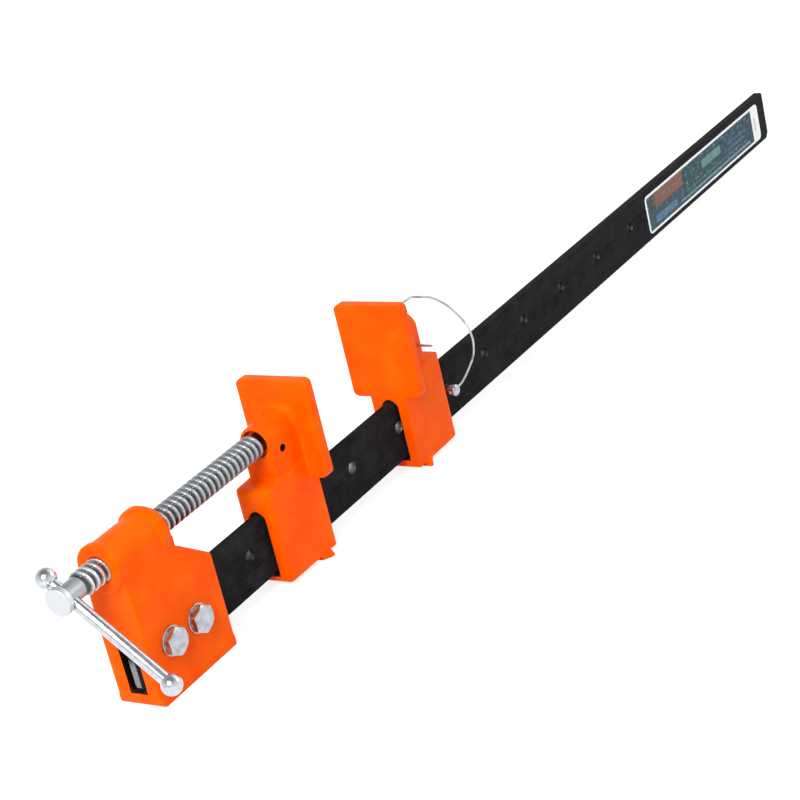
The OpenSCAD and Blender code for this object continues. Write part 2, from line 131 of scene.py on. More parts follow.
# Round rod with chamfered ends: the profile (0, 0), (0, r - c), (c, r), (n - c, r), (n, r - c), (n, 0)
# turned, for radius r, length n and chamfer c in mm, its corners eased by soft.
def rodPiece(name, start, direction, radius, length, chamfer, soft, steps, around=96):
    r, n, c = radius, length, chamfer
    profile = easedProfile([(0, 0), (0, r - c), (c, r), (n - c, r), (n, r - c), (n, 0)], soft, steps) * mm
    return turnedPiece(name, start, direction, profile[:, 0], profile[:, 1], around)


# Plain rod to drill a hole with, its rims all but sharp; radius and length in mm.
def drillRod(start, direction, radius, length, around):
    profile = easedProfile([(0, 0), (0, radius), (length, radius), (length, 0)], soft=0.01, steps=2) * mm
    return turnedPiece("drillRod", start, direction, profile[:, 0], profile[:, 1], around)


# Distance from a hexagon's middle to its side at angle t: the sum of (|cos(t - a)| / (flats / 2))^sharp
# over its three pairs of flats, at angles a, to the power -1/sharp; a higher sharp gives tighter corners.
def hexRadius(turn, flats, sharp=26):
    faces = np.abs(np.cos(turn[:, None] - np.arange(3) * np.pi / 3)) / (flats / 2)
    return (faces ** sharp).sum(1) ** (-1 / sharp)


# The same shape as a CAD node, its loose triangles merged where points are within so many mm.
def mergedCopy(nodeName, name, within=0.005):
    mesh = nodes[nodeName].data.copy()
    mesh.name = name
    mesh.materials.clear()
    build = bmesh.new()
    build.from_mesh(mesh)
    bmesh.ops.remove_doubles(build, verts=build.verts, dist=within * mm)
    build.to_mesh(mesh)
    build.free()
    return linkObject(name, mesh)


# The piece as its modifiers make it, with none left on it.
def bakeModifiers(piece, crease=None):
    bpy.context.view_layer.update()
    depsgraph = bpy.context.evaluated_depsgraph_get()
    mesh = bpy.data.meshes.new_from_object(piece.evaluated_get(depsgraph), depsgraph=depsgraph)
    piece.modifiers.clear()
    piece.data = mesh
    mesh.shade_smooth()
    if crease:
        mesh.set_sharp_from_angle(angle=math.radians(crease))


# Takes a cutter's shape out of a piece and deletes the cutter.
def cutAway(piece, cutter, crease=32):
    cut = piece.modifiers.new("cut", "BOOLEAN")
    cut.operation, cut.solver, cut.object = "DIFFERENCE", "EXACT", cutter
    bakeModifiers(piece, crease)
    bpy.data.objects.remove(cutter)
    return piece


# One row of three numbers for each face of a mesh, such as its center or its normal.
def faceRows(mesh, field):
    rows = np.zeros(len(mesh.polygons) * 3)
    mesh.polygons.foreach_get(field, rows)
    return rows.reshape(-1, 3)


# sRGB hex to linear: s/12.92 up to 0.04045, else ((s + 0.055)/1.055)^2.4 for each channel.
def linear(hexText):
    channels = [int(hexText[k:k + 2], 16) / 255 for k in (1, 3, 5)]
    return [s / 12.92 if s <= 0.04045 else ((s + 0.055) / 1.055) ** 2.4 for s in channels] + [1.0]


# New material and its shader, with values for the shader's own inputs, whose names have _ for a space.
def newFinish(name, **values):
    material = bpy.data.materials.new(name)
    material.use_nodes = True
    shader = material.node_tree.nodes["Principled BSDF"]
    for key, value in values.items():
        shader.inputs[key.replace("_", " ")].default_value = value
    return material, shader


# Adds one node to a material or the world, its settings as keywords. An input's value is a number, a
# colour or another node's output; a Mix takes its factor at 0 and what it mixes at 2 and 3, or for
# colours at 6 and 7. Stops are a colour ramp's (place, hex colour), in order.
def addNode(owner, kind, inputs=None, stops=(), **settings):
    node = owner.node_tree.nodes.new(kind)
    for key, value in settings.items():
        setattr(node, key, value)
    for key, value in (inputs or {}).items():
        if isinstance(value, bpy.types.NodeSocket):
            owner.node_tree.links.new(value, node.inputs[key])
        else:
            node.inputs[key].default_value = value
    for k, (place, colour) in enumerate(stops):
        elements = node.color_ramp.elements
        element = elements[k] if k < 2 else elements.new(place)  # a new ramp has two stops
        element.position, element.color = place, linear(colour)
    return node


# Links a node's output to an input.
def wire(material, source, target):
    material.node_tree.links.new(source, target)


# 1 where a value lies between low and high, else 0: |value - middle| is under half the width.
def bandMask(material, value, low, high):
    return addNode(material, "ShaderNodeMath", {0: value, 1: (low + high) / 2, 2: (high - low) / 2},
                   operation="COMPARE").outputs[0]


# 1 inside a box of (u, v), 0 outside: the product of both bands.
def boxMask(material, u, v, low, high):
    bands = {0: bandMask(material, u, low[0], high[0]), 1: bandMask(material, v, low[1], high[1])}
    return addNode(material, "ShaderNodeMath", bands, operation="MULTIPLY").outputs[0]


# Roughness from rough[0] to rough[1] as a noise goes from spread[0] to spread[1].
def varyRoughness(material, shader, noise, rough, spread=(0.3, 0.7)):
    gloss = addNode(material, "ShaderNodeMapRange", {"Value": noise, "From Min": spread[0],
                                                     "From Max": spread[1], "To Min": rough[0],
                                                     "To Max": rough[1]})
    wire(material, gloss.outputs["Result"], shader.inputs["Roughness"])


# Even mottle all over: the colour goes by stops over a noise of a size in mm, which is also returned.
def mottle(material, shader, size, detail, stops):
    place = addNode(material, "ShaderNodeTexCoord").outputs["Object"]
    noise = addNode(material, "ShaderNodeTexNoise",
                    {"Vector": place, "Scale": 1 / (size * mm), "Detail": detail}).outputs["Fac"]
    tint = addNode(material, "ShaderNodeValToRGB", {"Fac": noise}, stops)
    wire(material, tint.outputs["Color"], shader.inputs["Base Color"])
    return noise


# Enamel on a sand casting: thick gloss paint that keeps the sand's soft swells, so highlights break up
# gently; it runs thin and redder over small rises. drilled is the (x, z) of a hole made after painting; its
# bore and the inside of the bar's slot are darkened as painted shade.
def castEnamel(drilled, colour="#FF5900", deep="#FB4E00", pale="#FF6800", glossTint="#FFA050",
               core=(6.4, 8.0, 39.5), holeShadeRadius=2.4, iron="#1D1512", sand=1.6, swell=18.0, sandShare=0.35,
               sandHeight=0.08, swellHeight=0.5, rough=(0.3, 0.42)):
    material, shader = newFinish("orange enamel on cast iron", Coat_Weight=0.02, Coat_Roughness=0.1,
                                 Specular_IOR_Level=0.08, Specular_Tint=linear(glossTint))
    place = addNode(material, "ShaderNodeTexCoord").outputs["Object"]
    broad = addNode(material, "ShaderNodeTexNoise",
                    {"Vector": place, "Scale": 1 / (swell * mm), "Detail": 3.0}).outputs["Fac"]
    grains = addNode(material, "ShaderNodeTexNoise",
                     {"Vector": place, "Scale": 1 / (sand * mm), "Detail": 4.0}).outputs["Fac"]
    mixed = addNode(material, "ShaderNodeMix", {0: sandShare, 2: broad, 3: grains}).outputs[0]
    tint = addNode(material, "ShaderNodeValToRGB", {"Fac": mixed},
                   [(0.32, deep), (0.5, colour), (0.7, pale)]).outputs["Color"]
    # the bar's slot, core[0] to each side and from core[1] to core[2] high, is darkened inside as painted
    # shade
    parts = addNode(material, "ShaderNodeSeparateXYZ", {"Vector": place}).outputs
    inSlot = boxMask(material, parts["Y"], parts["Z"], (-core[0] * mm, core[1] * mm),
                     (core[0] * mm, core[2] * mm))
    # painted shade in the drilled hole: dark where sqrt((x - a)^2 + (z - b)^2) is under its radius, (a, b)
    # its axis
    fromAxis = addNode(material, "ShaderNodeVectorMath", {0: place, 1: (drilled[0] * mm, 0, drilled[1] * mm)},
                       operation="SUBTRACT").outputs["Vector"]
    flat = addNode(material, "ShaderNodeVectorMath", {0: fromAxis, 1: (1, 0, 1)},
                   operation="MULTIPLY").outputs["Vector"]
    reach = addNode(material, "ShaderNodeVectorMath", {0: flat}, operation="LENGTH").outputs["Value"]
    inHole = addNode(material, "ShaderNodeMath", {0: reach, 1: holeShadeRadius * mm}, operation="LESS_THAN").outputs[0]
    paintedLight = addNode(material, "ShaderNodeMath", {0: inSlot, 1: inHole}, operation="MAXIMUM").outputs[0]
    tintAndShade = addNode(material, "ShaderNodeMix", {0: paintedLight, 6: tint, 7: linear(iron)}, data_type="RGBA")
    wire(material, tintAndShade.outputs[2], shader.inputs["Base Color"])
    varyRoughness(material, shader, grains, rough)
    swells = addNode(material, "ShaderNodeBump", {"Height": broad, "Distance": swellHeight * mm,
                                                  "Strength": 0.35})
    bumps = addNode(material, "ShaderNodeBump", {"Height": grains, "Distance": sandHeight * mm,
                                                 "Strength": 0.4, "Normal": swells.outputs["Normal"]})
    wire(material, bumps.outputs["Normal"], shader.inputs["Normal"])
    return material


# Hot-rolled flat bar, blackened: mill scale leaves cloudy dark greys, fine lines run along the rolling
# direction. The sawn end in the head, short of sawn[0] along the bar, is pale bare steel only on its far
# side, past sawn[1] across it and below sawn[2], where light falls on it: partly a painted highlight.
def blackSteel(colour="#232325", deep="#131315", pale="#303134", paintedLight="#A2A4AA", sawn=(-32.8, -0.6, 27.0),
               cloud=13.0, line=0.9, stretch=40.0, lineShare=0.3, scaleHeight=0.08, rough=(0.5, 0.72)):
    material, shader = newFinish("blackened hot-rolled steel", Metallic=0.0, Specular_IOR_Level=0.02)
    place = addNode(material, "ShaderNodeTexCoord").outputs["Object"]
    clouds = addNode(material, "ShaderNodeTexNoise", {"Vector": place, "Scale": 1 / (cloud * mm),
                                                      "Detail": 6.0, "Roughness": 0.62}).outputs["Fac"]
    along = addNode(material, "ShaderNodeMapping", {"Vector": place, "Scale": (1 / stretch, 1, 1)})
    lines = addNode(material, "ShaderNodeTexNoise", {"Vector": along.outputs["Vector"],
                                                     "Scale": 1 / (line * mm), "Detail": 2.0}).outputs["Fac"]
    mixed = addNode(material, "ShaderNodeMix", {0: lineShare, 2: clouds, 3: lines}).outputs[0]
    tint = addNode(material, "ShaderNodeValToRGB", {"Fac": mixed},
                   [(0.34, deep), (0.52, colour), (0.72, pale)]).outputs["Color"]
    # the pale tone, bare steel kept to where light falls as a painted highlight, is a product of shares:
    # short of the sawn face; then far, low, and patchy by the lines, each one rising from least as its value
    # goes from low to high
    parts = addNode(material, "ShaderNodeSeparateXYZ", {"Vector": place}).outputs
    share = addNode(material, "ShaderNodeMath", {0: parts["X"], 1: sawn[0] * mm},
                    operation="LESS_THAN").outputs[0]
    for value, low, high, least in ((parts["Y"], sawn[1] * mm, (sawn[1] + 1) * mm, 0.0),
                                    (parts["Z"], (sawn[2] + 2) * mm, (sawn[2] - 3) * mm, 0.0),
                                    (lines, 0.35, 0.6, 0.55)):
        paintedHighlight = addNode(material, "ShaderNodeMapRange", {"Value": value, "From Min": low, "From Max": high,
                                                          "To Min": least}).outputs["Result"]
        share = addNode(material, "ShaderNodeMath", {0: share, 1: paintedHighlight}, operation="MULTIPLY").outputs[0]
    tone = addNode(material, "ShaderNodeMix", {0: share, 6: tint, 7: linear(paintedLight)}, data_type="RGBA")
    wire(material, tone.outputs[2], shader.inputs["Base Color"])
    varyRoughness(material, shader, clouds, rough)
    scale = addNode(material, "ShaderNodeBump", {"Height": mixed, "Distance": scaleHeight * mm,
                                                 "Strength": 0.6})
    wire(material, scale.outputs["Normal"], shader.inputs["Normal"])
    return material


# Drilled steel: the bore walls are blacked with the bar, dull and dark, with fine marks from the drill;
# in a stretch along the bar the bores are bright steel instead, a painted highlight where they catch the
# light.
def boredSteel(highlightFrom, highlightTo, colour="#B4B9BE", deep="#7A7F84", dull="#787B7E", black="#404244", mark=0.7):
    material, shader = newFinish("drilled steel bore", Metallic=1.0, Roughness=0.38)
    place = addNode(material, "ShaderNodeTexCoord").outputs["Object"]
    marks = addNode(material, "ShaderNodeTexNoise",
                    {"Vector": place, "Scale": 1 / (mark * mm), "Detail": 2.0}).outputs["Fac"]
    paintedHighlight = addNode(material, "ShaderNodeValToRGB", {"Fac": marks}, [(0.35, deep), (0.65, colour)])
    blacked = addNode(material, "ShaderNodeValToRGB", {"Fac": marks}, [(0.35, black), (0.65, dull)])
    parts = addNode(material, "ShaderNodeSeparateXYZ", {"Vector": place}).outputs
    # painted highlight on the bores within the given stretch along the bar
    highlightBand = bandMask(material, parts["X"], highlightFrom * mm, highlightTo * mm)
    tint = addNode(material, "ShaderNodeMix", {0: highlightBand, 6: blacked.outputs["Color"],
                                               7: paintedHighlight.outputs["Color"]}, data_type="RGBA")
    wire(material, tint.outputs[2], shader.inputs["Base Color"])
    return material


# Zinc plate, passivated: bright grey with a faint blotchy haze where the bath dried.
def zincPlate(colour="#B4B9BF", deep="#989EA5", pale="#CDD1D6", haze=4.5, hazeHeight=0.02,
              rough=(0.2, 0.42)):
    material, shader = newFinish("zinc-plated steel", Metallic=1.0)
    blotch = mottle(material, shader, haze, 5.0, [(0.3, deep), (0.5, colour), (0.75, pale)])
    varyRoughness(material, shader, blotch, rough, spread=(0.35, 0.65))
    skin = addNode(material, "ShaderNodeBump", {"Height": blotch, "Distance": hazeHeight * mm,
                                                "Strength": 0.25})
    wire(material, skin.outputs["Normal"], shader.inputs["Normal"])
    return material


# Bright-drawn rod, nickel-chromed: near mirror, with a faint mottle that breaks long reflections.
def chromePlate(colour="#D3D7DC", deep="#BCC2C9", mark=3.0, rough=(0.12, 0.18)):
    material, shader = newFinish("chromed drawn steel", Metallic=1.0)
    marks = mottle(material, shader, mark, 6.0, [(0.35, deep), (0.6, colour)])
    varyRoughness(material, shader, marks, rough, spread=(0.35, 0.65))
    return material


# Cut screw thread, zinc-plated and oiled, with painted light: the roots are darkened as painted shade and
# the crests lightened as painted highlight. The tone follows the distance from the screw's axis, sqrt(y^2 +
# (z - axis)^2);
# the neck behind the thread stays clean, the crests between it and the head get a stronger painted highlight,
# and the cap at its end is bright. Tones run from 0 in the roots to cleanTone on the crests and the neck, and
# capTone on the cap.
def threadSteel(axisHeight, root, crest, neckEnd, capEnd, nearHighlightFrom=-36.0, cleanTone=0.66, capTone=0.95,
                nearHighlightGain=1.35, blotShare=0.3, bright="#D6DADE", paintedHighlight="#AAAEB2", film="#7C8084",
                rootShade="#505356", blot=4.0, rough=(0.3, 0.5)):
    material, shader = newFinish("oiled zinc-plated screw steel", Metallic=1.0)
    place = addNode(material, "ShaderNodeTexCoord").outputs["Object"]
    parts = addNode(material, "ShaderNodeSeparateXYZ", {"Vector": place}).outputs
    height = addNode(material, "ShaderNodeMath", {0: parts["Z"], 1: axisHeight * mm}, operation="SUBTRACT")
    across = addNode(material, "ShaderNodeCombineXYZ", {"Y": parts["Y"], "Z": height.outputs[0]})
    distance = addNode(material, "ShaderNodeVectorMath", {0: across.outputs["Vector"]}, operation="LENGTH")
    spots = addNode(material, "ShaderNodeTexNoise",
                    {"Vector": place, "Scale": 1 / (blot * mm), "Detail": 5.0}).outputs["Fac"]
    rise = addNode(material, "ShaderNodeMapRange", {"Value": distance.outputs["Value"], "From Min": root * mm,
                                                    "From Max": crest * mm, "To Max": cleanTone})
    neck = addNode(material, "ShaderNodeMapRange", {"Value": parts["X"], "From Min": (neckEnd + 0.5) * mm,
                                                    "From Max": (neckEnd - 0.5) * mm, "To Max": cleanTone})
    cap = addNode(material, "ShaderNodeMapRange", {"Value": parts["X"], "From Min": (capEnd + 0.3) * mm,
                                                   "From Max": (capEnd - 0.1) * mm, "To Max": capTone})
    clean = addNode(material, "ShaderNodeMath", {0: neck.outputs["Result"], 1: cap.outputs["Result"]},
                    operation="MAXIMUM")
    # painted highlight, stronger on the crests between the neck and the head
    nearHighlight = addNode(material, "ShaderNodeMapRange", {"Value": parts["X"], "From Min": nearHighlightFrom * mm,
                                                       "From Max": (nearHighlightFrom - 2) * mm, "To Min": 1.0,
                                                       "To Max": nearHighlightGain})
    crests = addNode(material, "ShaderNodeMath", {0: rise.outputs["Result"], 1: nearHighlight.outputs["Result"]},
                     operation="MULTIPLY")
    tone = addNode(material, "ShaderNodeMath", {0: crests.outputs[0], 1: clean.outputs[0]},
                   operation="MAXIMUM")
    mottled = addNode(material, "ShaderNodeMath", {0: spots, 1: blotShare, 2: tone.outputs[0]},
                      operation="MULTIPLY_ADD")
    tint = addNode(material, "ShaderNodeValToRGB", {"Fac": mottled.outputs[0]},
                   [(0.12, rootShade), (0.5, film), (0.82, paintedHighlight), (1.0, bright)])
    wire(material, tint.outputs["Color"], shader.inputs["Base Color"])
    varyRoughness(material, shader, spots, rough)
    return material


# Rolled spring pin, phosphated: near black with a dull sheen, so the hole it fills reads as dark.
def phosphateSteel(colour="#2A2A2B", deep="#151516", grain=0.6):
    material, shader = newFinish("phosphated spring steel", Metallic=0.6, Roughness=0.55)
    mottle(material, shader, grain, 2.0, [(0.35, deep), (0.65, colour)])
    return material


# Drawn spring wire: satin, duller than chrome, with patches where it was bent.
def springSteel(colour="#BEC1C4", deep="#92979C", patch=7.0):
    material, shader = newFinish("drawn spring steel", Metallic=0.7, Roughness=0.45)
    mottle(material, shader, patch, 3.0, [(0.35, deep), (0.55, colour)])
    return material


# The label's print, in shares of its length and height: (low u, low v, high u, high v, colour, strength),
# painted in this order. Those that end short of wearTo are worn by the mottle: full ink where its value is
# worn[0] or less, down to worn[2] of it at worn[1].
printing = {"edgeU": 0.009, "edgeV": 0.06, "wearTo": 0.95, "worn": (0.4, 0.62, 0.3), "layers": [
    (0.620, 0.00, 0.935, 1.00, "#14304F", 0.75),
    (0.000, 0.00, 0.300, 0.55, "#3A4A58", 0.7),
    (0.070, 0.55, 0.300, 0.94, "#A65A2A", 0.85),
    (0.030, 0.62, 0.070, 0.94, "#5A2A20", 0.8),
    (0.060, 0.16, 0.240, 0.34, "#5E86AE", 0.9),
    (0.280, 0.13, 0.900, 0.19, "#8FB0B8", 0.8),
    (0.330, 0.27, 0.800, 0.32, "#4F8088", 0.7),
    (0.470, 0.52, 0.640, 0.74, "#86B4B0", 0.7),
    (0.700, 0.40, 0.860, 0.46, "#5C86A8", 0.6),
    (0.700, 0.56, 0.880, 0.61, "#5C86A8", 0.5),
    (0.935, 0.00, 1.000, 1.00, "#FBFCFD", 1.0),
    (0.955, 0.30, 0.965, 0.66, "#9AA4AA", 0.7),
]}


# Printed vinyl film: white edge, dark teal field with a pale mottle, plain bars where print would be.
# u = (x - low x) / (high x - low x) along it and v = (z - low z) / (high z - low z) up it.
def printedFilm(low, high, field="#17323F", deepTeal="#15404A", teal="#2A6068", light="#7FA6A8",
                edge="#FDFEFF", blotch=3.6):
    material, shader = newFinish("printed vinyl film", Roughness=0.35, Specular_IOR_Level=0.15)
    place = addNode(material, "ShaderNodeTexCoord").outputs["Object"]
    parts = addNode(material, "ShaderNodeSeparateXYZ", {"Vector": place}).outputs
    u, v = [addNode(material, "ShaderNodeMapRange", {"Value": parts[axis], "From Min": low[k] * mm,
                                                     "From Max": high[k] * mm}, clamp=False).outputs["Result"]
            for k, axis in enumerate("XZ")]
    spots = addNode(material, "ShaderNodeTexNoise", {"Vector": place, "Scale": 1 / (blotch * mm),
                                                     "Detail": 3.0, "Roughness": 0.6}).outputs["Fac"]
    colour = addNode(material, "ShaderNodeValToRGB", {"Fac": spots},
                     [(0.38, field), (0.5, deepTeal), (0.6, teal), (0.74, light)]).outputs["Color"]
    inkFull, inkThin, leastInk = printing["worn"]
    worn = addNode(material, "ShaderNodeMapRange", {"Value": spots, "From Min": inkFull, "From Max": inkThin,
                                                    "To Min": 1.0, "To Max": leastInk}).outputs["Result"]
    for lowU, lowV, highU, highV, paint, strength in printing["layers"]:
        mask = boxMask(material, u, v, (lowU, lowV), (highU, highV))
        faded = addNode(material, "ShaderNodeMath", {0: mask, 1: strength}, operation="MULTIPLY").outputs[0]
        if highU < printing["wearTo"]:
            faded = addNode(material, "ShaderNodeMath", {0: faded, 1: worn}, operation="MULTIPLY").outputs[0]
        colour = addNode(material, "ShaderNodeMix", {0: faded, 6: colour, 7: linear(paint)},
                         data_type="RGBA").outputs[2]
    inside = boxMask(material, u, v, (printing["edgeU"], printing["edgeV"]),
                     (1 - printing["edgeU"], 1 - printing["edgeV"]))
    edged = addNode(material, "ShaderNodeMix", {0: inside, 6: linear(edge), 7: colour}, data_type="RGBA")
    wire(material, edged.outputs[2], shader.inputs["Base Color"])
    return material


# Puts a piece in its place: its finish, the body it moves with and the CAD node it stands for; the slot name
# is not used.
def settle(piece, finish, body, slotName, *replaced):
    piece.data.materials.clear()
    piece.data.materials.append(finish)
    if body:
        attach(piece, body)
    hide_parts(*replaced)


# Castings, with their cross holes as (x, z, radius) and the drill's start and length across them
castings = {"skin": 0.7, "rounds": 4, "pull": 0.5, "retainerHole": (127.0, 83.24, 2.05),
            "wireHole": (286.975, 78.0, 1.1), "drillFrom": -30.0, "drillLength": 60.0}
enamel = castEnamel(castings["retainerHole"][:2])


# The CAD solid made of one even skin of small squares, then relaxed so that every edge is the soft one of a
# painted casting: each point moves towards the mean of its neighbours by pull, in each of the rounds.
# Holes are drilled through the painted skin afterwards, so they stay sharp.
def castPiece(nodeName, name, body, *holes):
    piece = mergedCopy(nodeName, name)
    skin = piece.modifiers.new("skin", "REMESH")
    skin.mode, skin.voxel_size, skin.use_smooth_shade = "VOXEL", castings["skin"] * mm, True
    relax = piece.modifiers.new("relax", "SMOOTH")
    relax.factor, relax.iterations = castings["pull"], castings["rounds"]
    bakeModifiers(piece)
    for x, z, radius in holes:
        start = np.array([x, castings["drillFrom"], z]) * mm
        cutAway(piece, drillRod(start, (0, 1, 0), radius, castings["drillLength"], around=40), crease=50)
    settle(piece, enamel, body, "orange_casting", nodeName)
    print(name, "faces:", len(piece.data.polygons))


castPiece("head_casting", "headCasting", "frame")
castPiece("front_jaw", "frontJawCasting", "front_jaw", castings["retainerHole"])
castPiece("tail_jaw", "tailJawCasting", "tail_jaw", castings["wireHole"])

# Bar: flatWithin and easeOver are in degrees, the angle under which faces join and over which edges ease;
# the bores in a stretch of it get a painted highlight
bar = {"ease": 0.35, "flatWithin": 1, "easeOver": 50, "firstHole": 81.0, "holePitch": 58.0, "holes": 10,
       "holeHeight": 33.0, "holeRadius": 4.15, "wallTilt": 0.5, "highlightFrom": 168.0, "highlightTo": 284.0}


# Bore walls: faces whose normal's part across the bar is under wallTilt, within a hole's radius of the
# nearest hole's middle, which is at first + pitch round((x - first) / pitch) along the bar.
def boreFaces(mesh):
    x, z = faceRows(mesh, "center")[:, [0, 2]].T / mm
    inward = np.abs(faceRows(mesh, "normal")[:, 1]) < bar["wallTilt"]
    hole = np.clip(np.round((x - bar["firstHole"]) / bar["holePitch"]), 0, bar["holes"] - 1)
    nearest = bar["firstHole"] + bar["holePitch"] * hole
    return inward & (np.hypot(x - nearest, z - bar["holeHeight"]) < bar["holeRadius"])


# The CAD solid's flat faces joined up, its hole rims and edges eased, and its bores given their own finish.
def barPiece():
    piece = mergedCopy("bar", "drilledBar")
    build = bmesh.new()
    build.from_mesh(piece.data)
    bmesh.ops.dissolve_limit(build, angle_limit=math.radians(bar["flatWithin"]), verts=build.verts,
                             edges=build.edges)
    build.to_mesh(piece.data)
    build.free()
    ease = piece.modifiers.new("ease", "BEVEL")
    ease.width, ease.segments = bar["ease"] * mm, 2
    ease.limit_method, ease.angle_limit = "ANGLE", math.radians(bar["easeOver"])
    bakeModifiers(piece, crease=32)
    settle(piece, blackSteel(), "frame", "black_steel", "bar")
    piece.data.materials.append(boredSteel(bar["highlightFrom"], bar["highlightTo"]))
    piece.data.polygons.foreach_set("material_index", boreFaces(piece.data).astype(np.int32))


barPiece()
print("bar and castings made")

# Screw: places along X, radii of the cap at its outer end, of the neck behind it, of the thread and of
# the nose with its groove; capEase and backEase are the cap's chamfers, and a step leans by hair
screw = {"start": -75.0, "capEnd": -70.5, "neckEnd": -57.0, "threadStart": -56.0, "threadEnd": 115.5,
         "end": 140.5, "cap": 8.75, "neck": 6.5, "crest": 8.0, "root": 6.2, "nose": 6.0, "grooveAt": 127.0,
         "grooveHalf": 2.4, "groove": 4.4, "pitch": 5.0, "axis": 90.0, "capEase": 0.5, "backEase": 0.4,
         "endEase": 1.0, "hair": 0.05, "step": 0.25}


# Thread radius at (x, t): root + (crest - root) clip(0.5 + steep cos(2 pi x / pitch - t), 0, 1), a
# right-hand helix with flat crests and roots; it fades to the root over a share of a turn at each end.
def threadRadius(x, turn, first, last, crest, root, pitch, steep=0.95, fadeShare=0.3):
    phase = 2 * np.pi * x[:, None] / pitch - turn
    tooth = np.clip(0.5 + steep * np.cos(phase), 0, 1)
    fade = np.clip(np.minimum(x - first, last - x) / (fadeShare * pitch), 0, 1)[:, None]
    return root + (crest - root) * tooth * fade


# One profile turned about the screw's axis: cap and neck, the helix in small steps, and the grooved nose.
def screwPiece(around=96):
    s = screw
    start, back, end, hair = s["start"], s["capEnd"], s["end"], s["hair"]
    knuckle = easedProfile([(start, 0), (start, s["cap"] - s["capEase"]), (start + s["capEase"], s["cap"]),
                            (back - s["backEase"], s["cap"]), (back, s["cap"] - s["backEase"]),
                            (back, s["neck"]), (s["neckEnd"], s["neck"]), (s["threadStart"], s["root"])],
                           soft=1.0, steps=6)
    turn = turnAngles(around)
    x = np.arange(s["threadStart"] + hair, s["threadEnd"], s["step"])
    helix = threadRadius(x, turn, s["threadStart"], s["threadEnd"], s["crest"], s["root"], s["pitch"])
    grooveFrom, grooveTo = s["grooveAt"] - s["grooveHalf"], s["grooveAt"] + s["grooveHalf"]
    nose = easedProfile([(s["threadEnd"], s["root"]), (s["threadEnd"] + hair, s["nose"]),
                         (grooveFrom, s["nose"]), (grooveFrom + hair, s["groove"]),
                         (grooveTo - hair, s["groove"]), (grooveTo, s["nose"]),
                         (end - s["endEase"], s["nose"]), (end, s["nose"] - s["endEase"]), (end, 0)],
                        soft=0.3, steps=3)
    along = np.concatenate([knuckle[:, 0], x, nose[:, 0]])
    radius = np.vstack([knuckle[:, 1:] + 0 * turn, helix, nose[:, 1:] + 0 * turn])
    return turnedPiece("clampScrew", (0, 0, s["axis"] * mm), (1, 0, 0), along * mm, radius * mm, around)


# Tommy bar: up and down are the balls' places along it from the screw's axis, lean its angle from Y; a
# ball's seat opens from the rod by seatGap over seatDepth
tommy = {"at": -66.5, "axis": 90.0, "lean": 41.0, "rod": 3.75, "ball": 6.25, "up": 15.0, "down": -76.0,
         "hole": 3.95, "drillLength": 30.0, "ease": 0.3, "seatGap": 0.35, "seatDepth": 0.4}
lean = math.radians(tommy["lean"])
tommyUp = np.array([0.0, math.cos(lean), math.sin(lean)])
tommyMiddle = np.array([tommy["at"], 0.0, tommy["axis"]]) * mm
screwBody = cutAway(screwPiece(), drillRod(tommyMiddle - tommy["drillLength"] / 2 * mm * tommyUp, tommyUp,
                                           tommy["hole"], tommy["drillLength"], around=64))
threaded = threadSteel(screw["axis"], screw["root"], screw["crest"], screw["neckEnd"], screw["capEnd"])
settle(screwBody, threaded, "screw", "screw_steel", "screw")

chrome = chromePlate()
tommyRod = rodPiece("tommyRod", tommyMiddle + tommy["down"] * mm * tommyUp, tommyUp, tommy["rod"],
                    tommy["up"] - tommy["down"], tommy["ease"], soft=0.2, steps=3, around=64)
settle(tommyRod, chrome, "tommy", "chrome_steel", "tommy_bar")


# Ball: a sphere, s = R cos a and r = R sin a, from the seat where the rod goes in to a pole that its middle
# point closes.
def ballPiece(name, place, outward, rings=48, pole=0.02):
    seat = math.asin((tommy["rod"] + tommy["seatGap"]) / tommy["ball"])
    angle = np.linspace(math.pi - seat, pole, rings)
    along, radius = tommy["ball"] * np.cos(angle), tommy["ball"] * np.sin(angle)
    along = np.insert(along, 0, along[0] + tommy["seatDepth"])
    radius = np.insert(radius, 0, radius[0] - tommy["seatGap"])
    centre = tommyMiddle + place * mm * tommyUp
    return turnedPiece(name, centre, outward, along * mm, radius * mm, around=72)


settle(ballPiece("tommyBallUpper", tommy["up"], tommyUp), chrome, "tommy", "chrome_steel",
       "tommy_ball_upper")
settle(ballPiece("tommyBallLower", tommy["down"], -tommyUp), chrome, "tommy", "chrome_steel",
       "tommy_ball_lower")
print("screw and tommy bar made")

# Head bolts, washers and nuts: faces and ends are y places, seen from the near side. A chamfer's cone
# starts at a share of the flats, headCone or nutCone, and grows by coneRise for each mm down to chamfer;
# the head's foot draws in to footCone over footEase. Washer eases are offsets (along, out) of its eight
# corners.
bolts = {"at": {"rear": -15.5, "front": 9.5}, "height": 33.0, "flats": 16.0, "shank": 5.0, "head": 4.8,
         "headFace": -22.4, "end": 28.0, "nutFace": 17.6, "nut": 8.4, "pitch": 1.5, "depth": 0.92,
         "chamfer": 1.3, "coneRise": 1.9, "headCone": 0.46, "nutCone": 0.47, "footCone": 0.49,
         "footEase": 0.3, "hair": 0.02, "threadRun": 8.0, "threadLead": 0.1, "threadStep": 0.2,
         "tip": 1.0, "tipEase": (0.8, 0.6), "sink": 0.6, "nutGap": 0.05, "washerNear": -17.6,
         "washerFar": 16.0, "washer": 9.0, "thick": 1.6, "washerGap": 0.2,
         "washerEases": [(0, 0.1), (0, -0.3), (0.25, 0), (-0.35, 0), (0, -0.4), (0, 0.3), (-0.2, 0),
                         (0.2, 0)]}
boltTurn = turnAngles(96)
hexagon = hexRadius(boltTurn, bolts["flats"])
zinc = zincPlate()


# Piece turned about a bolt's line, from place y on it; sizes in mm.
def onBolt(name, x, y, along, radius, closed=False):
    start = (x * mm, y * mm, bolts["height"] * mm)
    return turnedPiece(name, start, (0, 1, 0), along * mm, radius * mm, len(boltTurn), closed)


